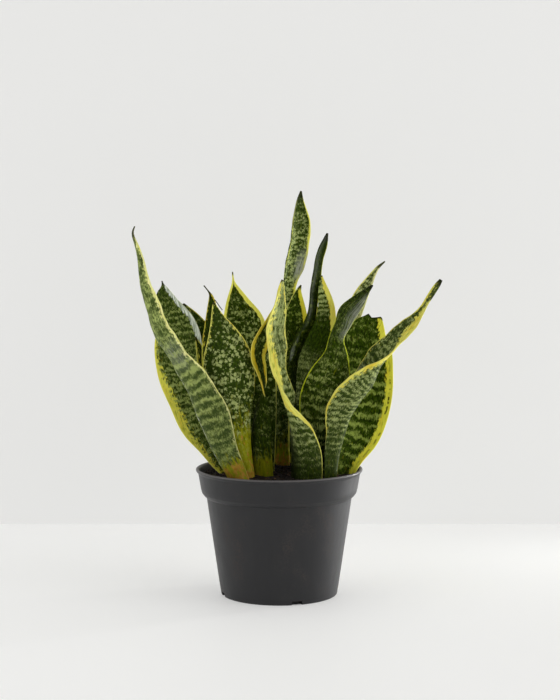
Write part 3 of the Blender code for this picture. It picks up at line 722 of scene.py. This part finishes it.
def mark_blade(mesh, marks, index, s, along, from_minus, from_plus):
    """Keeps at each point of both skins the measures and markings that the leaf material reads."""
    share = np.clip((along - IN_SOIL) / (along[-1] - IN_SOIL), 0, 1)

    def read(values):
        return along_blade(values, share)[:, None]

    def keep(name, *values):
        """Three values, each given for every point, for every row or as one number."""
        layers = np.stack([np.zeros_like(s) + value for value in values], -1).reshape(-1, 3)
        set_vectors(mesh, name, np.concatenate([layers, layers]))

    widest = 0.3 * from_minus[:, -1:] * marks["spread"]
    to_minus = abs(from_minus - read(marks["inset"])) - np.minimum(read(marks["minus"]), widest)
    to_plus = from_plus - np.minimum(read(marks["plus"]), widest)
    over_soil = np.maximum(along - FOOT_FROM, 0)[:, None]
    foot = marks["foot"] * np.exp(-((over_soil / marks["reach"]) ** 2))
    tan = marks["tan"] * np.exp(-((over_soil / min(marks["reach"], TAN_REACH)) ** 2))
    dark_tip = np.clip(1 - (along[-1] - along) / max(marks["tip"], 0.1), 0, 1)[:, None]
    # Painted shade on the plus side of the lower third, where the blade curves away.
    painted_shade_mask = np.clip((s - 0.2) / 0.6, 0, 1) * np.clip((0.4 - share) / 0.1, 0, 1)[:, None]
    # A painted greyish sheen along a stretch of the blade.
    middle, width, start, end, strength = marks["gleam"]
    inside = np.clip((share - start) / 0.06, 0, 1) * np.clip((end - share) / 0.06, 0, 1)
    gleam = strength * inside[:, None] * np.exp(-(((s - middle) / width) ** 2))

    keep("place", from_minus - from_minus[:, -1:] / 2, along[:, None], 37.0 * index)
    keep("marks", *(read(marks[key]) for key in ("bands", "blotch", "pale")))
    keep("foot", foot, tan, np.minimum(from_minus, from_plus))
    # The brightness is partly the blade's own and partly painted light and shade.
    keep("tint", read(marks["tone"]) * (1 - marks["shade"] * painted_shade_mask), marks["warm"], dark_tip)
    # Share of a painted whitish sheen on each margin.
    silver = np.where(s < 0, *marks["silver"])
    keep("rim", np.minimum(to_minus, to_plus), silver, read(marks["vein"]) * (s > 0))
    keep("veil", marks["veil"], 0, 0)
    keep("grain", read(marks["streak"]), marks["cream"], gleam)
    ragged = np.where(s < 0, *map(read, marks["ragged"]))
    keep("pace", marks["period"], ragged, marks["calm"])


def new_mesh(name, vertices, faces):
    mesh = bpy.data.meshes.new(name)
    mesh.from_pydata((np.asarray(vertices) * MM).tolist(), [], [tuple(map(int, f)) for f in faces])
    mesh.update()
    mesh.shade_smooth()
    return mesh


def set_vectors(mesh, name, values):
    layer = mesh.attributes.new(name, "FLOAT_VECTOR", "POINT")
    layer.data.foreach_set("vector", np.ascontiguousarray(values, np.float32).ravel())


def put_in_scene(name, data):
    made = bpy.data.objects.new(name, data)
    bpy.context.scene.collection.objects.link(made)
    return made


def piece(data, material, slot, *nodes):
    """Puts a mesh or curve in the scene as a visible piece that stands for the CAD nodes, if any."""
    made = put_in_scene(data.name, data)
    data.materials.append(material)
    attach(made, "root")
    if nodes:
        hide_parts(*nodes)
    return made


def turned_mesh(profile, sides):
    """Closed turned body from a half profile whose first and last points lie on the axis."""
    angles = 2 * np.pi * np.arange(sides) / sides
    points = [(0.0, 0.0, profile[0][1])]
    for radius, z in profile[1:-1]:
        points += [(radius * np.sin(a), -radius * np.cos(a), z) for a in angles]
    points.append((0.0, 0.0, profile[-1][1]))
    last = len(points) - 1
    faces = []
    for k in range(sides):
        k1 = (k + 1) % sides
        faces.append((0, 1 + k1, 1 + k))
        for ring in range(len(profile) - 3):
            low, high = 1 + ring * sides, 1 + (ring + 1) * sides
            faces.append((low + k, low + k1, high + k1, high + k))
        top = 1 + (len(profile) - 3) * sides
        faces.append((top + k, top + k1, last))
    return np.array(points), faces


class Graph:
    """The node tree of a material or a world, built by calls that mostly return an output socket."""

    def __init__(self, owner):
        owner.use_nodes = True
        self.owner = owner
        self.tree = owner.node_tree
        self.shader = self.tree.nodes.get("Principled BSDF")

    def put(self, kind, values, **settings):
        """A node with its settings and its inputs, each a socket to link or a plain value."""
        made = self.tree.nodes.new(kind)
        for key, value in settings.items():
            setattr(made, key, value)
        for key, value in values.items():
            self.join(value, made.inputs[key])
        return made

    def join(self, value, socket):
        if isinstance(value, bpy.types.NodeSocket):
            self.tree.links.new(value, socket)
        else:
            socket.default_value = value

    def attribute(self, name):
        """The three numbers that a mesh carries under this name."""
        read = self.put("ShaderNodeAttribute", {}, attribute_name=name)
        return self.split(read.outputs["Vector"])

    def split(self, vector):
        return self.put("ShaderNodeSeparateXYZ", {0: vector}).outputs[:3]

    def point(self, x, y, z):
        return self.put("ShaderNodeCombineXYZ", {0: x, 1: y, 2: z}).outputs[0]

    def math(self, operation, a, b=0.0, c=0.0):
        return self.put("ShaderNodeMath", {0: a, 1: b, 2: c}, operation=operation).outputs[0]

    def add(self, a, b):
        return self.math("ADD", a, b)

    def times(self, a, b):
        return self.math("MULTIPLY", a, b)

    def fit(self, value, by, plus):
        return self.math("MULTIPLY_ADD", value, by, plus)

    def noise(self, vector, detail=2.0, roughness=0.55):
        """Noise from 0 to 1 whose flecks are about one unit of the vector across."""
        values = {"Vector": vector, "Scale": 1.0, "Detail": detail, "Roughness": roughness}
        return self.put("ShaderNodeTexNoise", values).outputs["Fac"]

    def swing(self, vector, size, detail=2.0):
        """Noise about zero, from about -size to size."""
        return self.fit(self.noise(vector, detail), 4 * size, -2 * size)

    def ease(self, value, low, high):
        """0 below low, 1 above high, smooth between."""
        values = {"Value": value, "From Min": low, "From Max": high}
        made = self.put("ShaderNodeMapRange", values, interpolation_type="SMOOTHSTEP")
        return made.outputs["Result"]

    def mix(self, share, a, b):
        return self.put("ShaderNodeMix", {0: share, 6: a, 7: b}, data_type="RGBA").outputs[2]

    def blend(self, share, pair):
        """A mix of two colours given from 0 to 255."""
        return self.mix(share, srgb(*pair[0]), srgb(*pair[1]))

    def scale(self, colour, by):
        values = {0: colour, "Scale": by}
        return self.put("ShaderNodeVectorMath", values, operation="SCALE").outputs["Vector"]

    def bump(self, height, millimetres):
        values = {"Height": height, "Distance": millimetres * MM, "Strength": 1.0}
        self.join(self.put("ShaderNodeBump", values).outputs[0], self.shader.inputs["Normal"])

    def finish(self, colour, roughness, **uniform):
        self.join(colour, self.shader.inputs["Base Color"])
        self.join(roughness, self.shader.inputs["Roughness"])
        for key, value in uniform.items():
            self.shader.inputs[key.replace("_", " ")].default_value = value
        return self.owner


def srgb(red, green, blue):
    """A colour given from 0 to 255 as on a screen, made linear."""
    shares = [value / 255 for value in (red, green, blue)]
    return (*(v / 12.92 if v < 0.04045 else ((v + 0.055) / 1.055) ** 2.4 for v in shares), 1)


def leaf_material():
    """Dark green with grey-green cross bands and flecks, ragged yellow margins, a tinted foot, painted
    sheen in places, and a brightness that is partly painted light and shade.

    Across and along the blade the pattern is measured in mm. The cross bands waver, and their edges
    are drawn out into short streaks along the blade, as the cells of the real leaf are. Each noise
    has a layer of its own, the last number that spot takes, so that no two fall alike.
    """
    g = Graph(bpy.data.materials.new("snake_leaf"))
    x, y, seed = g.attribute("place")
    bands, blotch, pale = g.attribute("marks")
    foot, tan, margin = g.attribute("foot")
    # The first value of tint is a brightness that is partly painted light and shade, the second of rim
    # paints a whitish sheen onto the margins, and the third of grain paints a greyish sheen.
    tone, warm, tip = g.attribute("tint")
    rim, silver, vein = g.attribute("rim")
    streaky, cream, gleam = g.attribute("grain")
    pace, unruly, calm = g.attribute("pace")
    veil = g.attribute("veil")[0]

    def spot(width, length, layer):
        """Coordinates in which a fleck is that many mm wide across the blade and long along it."""
        across = g.times(x, 1 / width)
        return g.point(across, g.times(y, 1 / length), g.add(seed, layer))

    jagged = g.swing(spot(0.9, 6, 0), 0.42, 3)
    waver = g.swing(spot(9, 13, 3.1), 0.55, 1)
    shake = g.fit(calm, -0.9, 1)
    turn = g.add(g.math("DIVIDE", y, pace), g.times(g.add(waver, jagged), shake))
    wave = g.math("SINE", g.times(turn, 6.2832))
    broken = g.ease(g.noise(spot(7, 5, 9), 1), 0.3, 0.62)
    fine = g.swing(spot(0.8, 2.2, 11), 1.15, 3)
    cell = g.put("ShaderNodeTexVoronoi", {"Vector": spot(3.2, 3.4, 17), "Scale": 1})
    size = g.split(cell.outputs["Color"])[0]
    rough_edge = g.add(g.times(size, 0.5), g.swing(spot(1.3, 1.2, 18), 0.32, 3))
    dots = g.ease(g.add(cell.outputs["Distance"], rough_edge), 0.9, 0.4)
    flecks = g.add(g.fit(dots, 2, -1), g.swing(spot(2.3, 3, 19), 1.2, 3))
    clouds = g.times(g.swing(spot(12, 8, 23), 1, 1), g.add(blotch, 0.25))
    lines = g.swing(spot(0.7, 14, 29), 1.2, 3)

    signal = g.add(g.times(g.times(wave, bands), g.fit(broken, 0.8, 0.3)),
                   g.times(flecks, blotch))
    signal = g.add(g.add(signal, fine), g.add(clouds, pale))
    light = g.ease(g.add(signal, g.times(lines, streaky)), -0.7, 1.8)

    deep = g.blend(g.ease(g.noise(spot(1.8, 3.5, 31), 3), 0.3, 0.7), DEEP_GREEN)
    grey = g.blend(g.noise(spot(4, 6, 37), 3), GREY_GREEN)
    white = g.blend(g.noise(spot(3, 5, 39), 3), PALE_GREEN)
    green = g.mix(light, g.mix(veil, deep, srgb(*VEIL)), g.mix(cream, grey, white))

    teeth = g.times(wave, g.ease(margin, 0, 4))
    long_streak = g.swing(spot(0.7, 22, 41), 1.6, 2)
    ragged = g.add(g.add(g.times(teeth, 0.8), long_streak), g.swing(spot(2.2, 3.6, 43), 2.6, 3))
    wild = g.times(unruly, g.ease(margin, 0, 3))
    soft = g.fit(wild, 0.6, 0.3)
    yellow_share = g.ease(g.add(rim, g.times(ragged, wild)), soft, g.times(soft, -1))
    lemon = g.blend(g.noise(spot(1.6, 10, 53), 3), LEMON)
    amber = g.blend(g.noise(spot(2, 9, 59), 3), AMBER)
    lemon = g.mix(g.times(cream, 0.4), lemon, srgb(*CREAM))
    lemon = g.mix(g.ease(warm, -0.3, -1.1), lemon, srgb(*LIME))
    yellow = g.mix(g.add(g.swing(spot(5, 26, 61), 0.6), warm), lemon, amber)
    dull = g.ease(g.swing(spot(1.2, 7, 67), 1, 3), 0, 0.7)
    yellow = g.mix(g.times(dull, g.fit(wild, 0.34, 0.1)), yellow, srgb(*DULL))
    # Painted whitish sheen on the margins.
    painted_sheen_colour = g.blend(g.ease(g.noise(spot(0.9, 12, 69), 3), 0.35, 0.6), PAINTED_SHEEN_WHITES)
    yellow = g.mix(silver, yellow, painted_sheen_colour)
    line = g.math("ABSOLUTE", g.add(g.add(margin, g.swing(spot(40, 9, 71), 1.2)), -3.6))
    gaps = g.ease(g.noise(spot(30, 9, 73), 3), 0.5, 0.56)
    vein_share = g.times(g.times(g.ease(line, 1.2, 0.5), gaps), vein)
    yellow = g.mix(vein_share, yellow, srgb(*VEIN))
    colour = g.mix(yellow_share, green, yellow)
    kept = g.times(g.ease(g.math("SUBTRACT", rim, margin), 0.9, 0.1), 0.4)
    colour = g.mix(g.times(g.ease(margin, 0.5, 0.1), kept), colour, srgb(*EDGE))

    stem = g.blend(g.noise(spot(2, 14, 75), 3), STEM)
    brown = g.blend(g.noise(spot(2.6, 4, 77), 3), BROWN)
    stem = g.mix(g.ease(g.add(tan, g.swing(spot(3.5, 7, 79), 1.3, 3)), 0.45, 0.95), stem, brown)
    foot_share = g.ease(g.add(foot, g.swing(spot(2, 9, 81), 0.45, 3)), 0.15, 0.75)
    colour = g.mix(g.times(foot_share, 0.85), colour, stem)
    dry = g.ease(g.add(tip, g.swing(spot(2, 5, 83), 0.2)), 0.1, 0.6)
    colour = g.mix(g.times(dry, 0.92), colour, srgb(*DRY))
    # Brightness, partly the blade's own and partly painted light and shade.
    colour = g.scale(colour, tone)
    # Painted greyish sheen, in streaks.
    painted_gleam_share = g.times(gleam, g.ease(g.noise(spot(1.2, 16, 87), 3), 0.3, 0.65))
    colour = g.mix(painted_gleam_share, colour, srgb(*PAINTED_GLEAM_GREY))

    ridges = g.noise(spot(0.5, 40, 89), 1)
    cells = g.noise(spot(0.5, 0.7, 97), 2)
    g.bump(g.add(g.times(ridges, 0.6), g.times(cells, 0.4)), 0.12)
    sheen = g.fit(g.noise(spot(5, 14, 101), 3), 0.3, 0.34)
    return g.finish(colour, sheen, Specular_IOR_Level=0.04, Specular_Tint=(1, 1, 0.7, 1))


def pot_material():
    """Dark grey moulded plastic, satin, with a film of soil dust here and there and a painted highlight
    along the lip.
    """
    g = Graph(bpy.data.materials.new("pot_plastic"))
    place = g.put("ShaderNodeTexCoord", {}).outputs["Object"]
    px, py, pz = g.split(place)

    def spot(width, height, layer):
        return g.point(g.times(px, 1000 / width), g.times(py, 1000 / width),
                       g.fit(pz, 1000 / height, layer))

    cloud = g.noise(spot(28, 40, 0), 3)
    speck = g.noise(spot(2.2, 2.2, 7), 3)
    dusty = g.times(g.ease(cloud, 0.52, 0.72), g.ease(speck, 0.35, 0.7))
    plain = g.blend(g.noise(spot(12, 60, 13)), ((30, 30, 32), (36, 36, 38)))
    colour = g.mix(g.times(dusty, 0.3), plain, srgb(82, 70, 64))
    # Painted highlight along the top of the lip.
    lip = g.ease(pz, (POT_HEIGHT - 2) * MM, (POT_HEIGHT - 1) * MM)
    colour = g.mix(g.times(lip, 0.5), colour, srgb(118, 114, 114))
    grain = g.noise(spot(0.7, 0.7, 19), 2)
    g.bump(g.add(g.times(grain, 0.6), g.times(g.noise(spot(9, 9, 23)), 1.6)), 0.06)
    rough = g.fit(g.noise(spot(6, 16, 29), 2), 0.16, 0.36)
    return g.finish(colour, g.add(rough, g.times(dusty, 0.25)), Specular_IOR_Level=0.35)


def soil_material():
    """Moist dark potting soil. Each lump has its own shade."""
    g = Graph(bpy.data.materials.new("potting_soil"))
    place = g.put("ShaderNodeTexCoord", {}).outputs["Object"]
    px, py, pz = g.split(place)
    shade, brown, _ = g.attribute("lump")

    def spot(size, layer):
        k = 1000 / size
        return g.point(g.times(px, k), g.times(py, k), g.fit(pz, k, layer))

    ground = g.blend(g.noise(spot(1.6, 0), 4), ((12, 9, 8), (42, 32, 27)))
    bark = g.blend(g.noise(spot(0.9, 5), 3), ((46, 30, 20), (104, 76, 52)))
    colour = g.scale(g.mix(brown, ground, bark), g.add(shade, 0.35))
    g.bump(g.noise(spot(0.8, 11), 4), 0.5)
    return g.finish(colour, 0.92, Specular_IOR_Level=0.3)


def plain_material(name, colour, roughness, glow=0.0, painted_shade_radius=0.0):
    """A matte, faintly uneven surface. It may glow a little of itself, beyond a radius in metres.
    Within that radius the missing glow is painted shade, under the pot.
    """
    g = Graph(bpy.data.materials.new(name))
    place = g.put("ShaderNodeTexCoord", {}).outputs["Object"]
    # No glow within the radius: painted shade under the pot.
    if painted_shade_radius:
        away = g.put("ShaderNodeVectorMath", {0: place}, operation="LENGTH").outputs["Value"]
        glow = g.times(g.ease(away, painted_shade_radius, 1.1 * painted_shade_radius), glow)
    g.join(colour, g.shader.inputs["Emission Color"])
    g.join(glow, g.shader.inputs["Emission Strength"])
    darker = tuple(0.985 * v for v in colour[:3]) + (1,)
    uneven = g.mix(g.noise(g.scale(place, 9.0), 3.0), darker, colour)
    return g.finish(uneven, roughness, Specular_IOR_Level=0.2)


def rounded(profile, radius):
    """The half profile with each inner corner turned into a short arc of four points."""
    found = [profile[0]]
    for before, corner, after in zip(profile[:-2], profile[1:-1], profile[2:]):
        before, corner, after = (np.array(p) for p in (before, corner, after))
        back, on = before - corner, after - corner
        cut = min(radius, 0.45 * np.linalg.norm(back), 0.45 * np.linalg.norm(on))
        start, end = corner + unit(back) * cut, corner + unit(on) * cut
        for t in np.linspace(0, 1, 4):
            found.append(tuple((1 - t) ** 2 * start + 2 * t * (1 - t) * corner + t**2 * end))
    return (*found, profile[-1])


def notch_cutter(degrees):
    """Box across the foot of the wall, open below."""
    angle = np.radians(degrees)
    out = np.array([np.sin(angle), -np.cos(angle), 0])
    side = np.array([np.cos(angle), np.sin(angle), 0])
    up = np.array([0, 0, 1])
    points = []
    for r, w, z in np.ndindex(2, 2, 2):
        width, height = (w - 0.5) * NOTCH_WIDTH, (NOTCH_BELOW, NOTCH_HEIGHT)[z]
        points.append(NOTCH_REACH[r] * out + width * side + height * up)
    faces = [(0, 1, 3, 2), (4, 6, 7, 5), (0, 4, 5, 1), (2, 3, 7, 6), (0, 2, 6, 4), (1, 5, 7, 3)]
    return put_in_scene("notch", new_mesh("notch", points, faces))


def make_pot():
    """The pot with soft corners and its four drain notches cut out."""
    mesh = new_mesh("plant_pot", *turned_mesh(rounded(POT_PROFILE, CORNER), POT_SIDES))
    made = piece(mesh, POT, "pot_plastic", "pot")
    for k in range(4):
        cutter = notch_cutter(NOTCH_FIRST + 90 * k)
        step = made.modifiers.new("notch", "BOOLEAN")
        step.object = cutter
        with bpy.context.temp_override(object=made, active_object=made):
            bpy.ops.object.modifier_apply(modifier="notch")
        bpy.data.objects.remove(cutter)
    made.data.shade_smooth()
    made.data.set_sharp_from_angle(angle=np.radians(38))
    return made


def soil_height(x, y):
    """Height of the soil in mm, with hollows, heaps and grain."""
    radius = np.hypot(x, y)
    level = SOIL_TOP - (SOIL_TOP - SOIL_EDGE[1]) * (min(radius, SOIL_EDGE[0]) / SOIL_EDGE[0]) ** 3
    rough = sum(high * noise.noise(Vector((x / size, y / size, layer))) for high, size, layer in SOIL_ROUGH)
    return level + rough * min(1, (SOIL_EDGE[0] - radius) / 6 + 0.3)


def make_soil():
    """The soil's closed plug with an uneven top."""
    rings = [(r, SOIL_TOP) for r in np.linspace(SOIL_EDGE[0], 0.6, 70)[1:]]
    profile = ((0.0, FLOOR + 0.3), *SOIL_PROFILE, SOIL_EDGE, *rings, (0.0, SOIL_TOP))
    points, faces = turned_mesh(profile, SOIL_SIDES)
    first = 1 + (len(SOIL_PROFILE) + 1) * SOIL_SIDES
    for point in points[first:]:
        point[2] = soil_height(point[0], point[1])
    mesh = new_mesh("soil_bed", points, faces)
    set_vectors(mesh, "lump", np.tile((0.45, 0.05, 0.0), (len(points), 1)))
    return piece(mesh, SOIL, "soil", "soil")


def blade_feet():
    """Points of the blades' skins near the top of the soil, from above, in mm."""
    blades = (made for made in bpy.data.objects if made.name.startswith("blade_"))
    points = (v.co for made in blades for v in made.data.vertices)
    return np.array([p[:2] for p in points if SOIL_EDGE[1] - 4 < p[2] / MM < SOIL_TOP + 5]) / MM


def make_crumbs(feet):
    """Loose crumbs and bits of bark on the soil, kept clear of the blades that stand in it."""
    rng = np.random.default_rng(11)
    ball = bmesh.new()
    bmesh.ops.create_icosphere(ball, subdivisions=1, radius=1)
    shape = np.array([v.co for v in ball.verts])
    sides = np.array([[v.index for v in f.verts] for f in ball.faces])
    ball.free()
    points, faces, lumps = [], [], []
    while len(points) < CRUMBS:
        x, y = rng.uniform(1 - CRUMB_REACH, CRUMB_REACH - 1, 2)
        size = CRUMB_LEAST + CRUMB_MORE * rng.random() ** 2.5
        if np.hypot(x, y) > CRUMB_REACH - size or np.hypot(*(feet - (x, y)).T).min() < size + 0.9:
            continue
        bark = rng.random() < BARK_SHARE
        long = rng.uniform(1.6, 3.2) if bark else rng.uniform(0.9, 1.4)
        flat = rng.uniform(0.25, 0.5) if bark else rng.uniform(0.6, 1.0)
        local = shape * (1 + rng.uniform(-0.28, 0.28, (len(shape), 1))) * (size * long, size, size * flat)
        tilt = Quaternion(Vector(rng.normal(0, 1, 3)).normalized(), rng.uniform(0, 0.5))
        turn = Quaternion((0, 0, 1), rng.uniform(0, 2 * np.pi))
        local = local @ np.array((turn @ tilt).to_matrix()).T
        place = (x, y, soil_height(x, y) + 0.35 * size * flat)
        faces.append(sides + len(shape) * len(points))
        points.append(local + place)
        lump = (rng.random() ** 1.5, 0.9 if bark else 0.1 * rng.random(), 0)
        lumps.append(np.tile(lump, (len(shape), 1)))
    mesh = new_mesh("soil_crumbs", np.concatenate(points), np.concatenate(faces))
    set_vectors(mesh, "lump", np.concatenate(lumps))
    return piece(mesh, SOIL, "soil")


def make_thread():
    """The dry thread that curls down from the tip of the front left blade."""
    curve = bpy.data.curves.new("dry_thread", "CURVE")
    curve.dimensions = "3D"
    curve.bevel_depth = THREAD_RADIUS * MM
    curve.bevel_resolution = 2
    curve.use_fill_caps = True
    line = curve.splines.new("POLY")
    line.points.add(len(THREAD) - 1)
    for point, (x, y, z) in zip(line.points, THREAD):
        point.co = (x * MM, y * MM, z * MM, 1)
    return piece(curve, plain_material("dry_fibre", srgb(58, 54, 44), 0.7), "leaf")


def make_plane(name, corners, material):
    mesh = bpy.data.meshes.new(name)
    mesh.from_pydata(corners, [], [(0, 1, 2, 3)])
    mesh.materials.append(material)
    put_in_scene(name, mesh)


def make_stage():
    """A pale floor, and a pale wall behind the plant that light and sight meet from its front only."""
    far = STAGE_REACH
    floor = plain_material("stage_floor", srgb(*FLOOR_COLOUR), 0.6, FLOOR_GLOW, PAINTED_SHADE_UNDER_POT)
    make_plane("floor", [(-far, -far, 0), (far, -far, 0), (far, far, 0), (-far, far, 0)], floor)
    wall = plain_material("stage_wall", srgb(*WALL_COLOUR), 0.8, WALL_GLOW)
    g = Graph(wall)
    clear = g.put("ShaderNodeBsdfTransparent", {}).outputs[0]
    behind = g.put("ShaderNodeNewGeometry", {}).outputs["Backfacing"]
    seen = g.put("ShaderNodeMixShader", {0: behind, 1: g.shader.outputs[0], 2: clear})
    g.join(seen.outputs[0], g.tree.nodes["Material Output"].inputs[0])
    y = WALL_BEHIND
    make_plane("wall", [(-far, y, 0), (far, y, 0), (far, y, far), (-far, y, far)], wall)


def make_world():
    """A dim room that grows bright to the right, and nearly as bright to the left."""
    world = bpy.data.worlds.new("studio")
    bpy.context.scene.world = world
    g = Graph(world)
    across = g.split(g.put("ShaderNodeTexCoord", {}).outputs["Generated"])[0]
    strength = g.math("MAXIMUM", g.times(across, SKY_RIGHT), SKY_ALL)
    strength = g.math("MAXIMUM", strength, g.times(across, -SKY_LEFT))
    background = g.tree.nodes["Background"]
    g.join(strength, background.inputs["Strength"])
    g.join(SKY_COLOUR, background.inputs["Color"])


def make_light(name, place, size, watts, spread):
    """A rectangular lamp that faces the plant and isn't seen itself."""
    data = bpy.data.lights.new(name, "AREA")
    data.shape = "RECTANGLE"
    data.size, data.size_y = size
    data.energy = watts
    data.spread = np.radians(spread)
    made = put_in_scene(name, data)
    made.location = place
    made.visible_camera = False
    made.rotation_euler = (Vector(LAMP_AIM) - Vector(place)).to_track_quat("-Z", "Y").to_euler()


def make_camera():
    data = bpy.data.cameras.new("camera")
    data.lens = CAMERA_LENS
    data.sensor_width = 36
    made = put_in_scene("camera", data)
    made.location = CAMERA_PLACE
    made.rotation_euler = (np.radians(90 - CAMERA_DIP), 0, 0)
    bpy.context.scene.camera = made


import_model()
bpy.context.scene.view_settings.view_transform = "Standard"

LEAF = leaf_material()
POT = pot_material()
SOIL = soil_material()

make_camera()
make_stage()
make_world()
for lamp in LIGHTS:
    make_light(*lamp)

for index, (node, rows) in enumerate(LEAVES.items()):
    make_blade(node, rows, index)
make_pot()
make_soil()
make_crumbs(blade_feet())
make_thread()
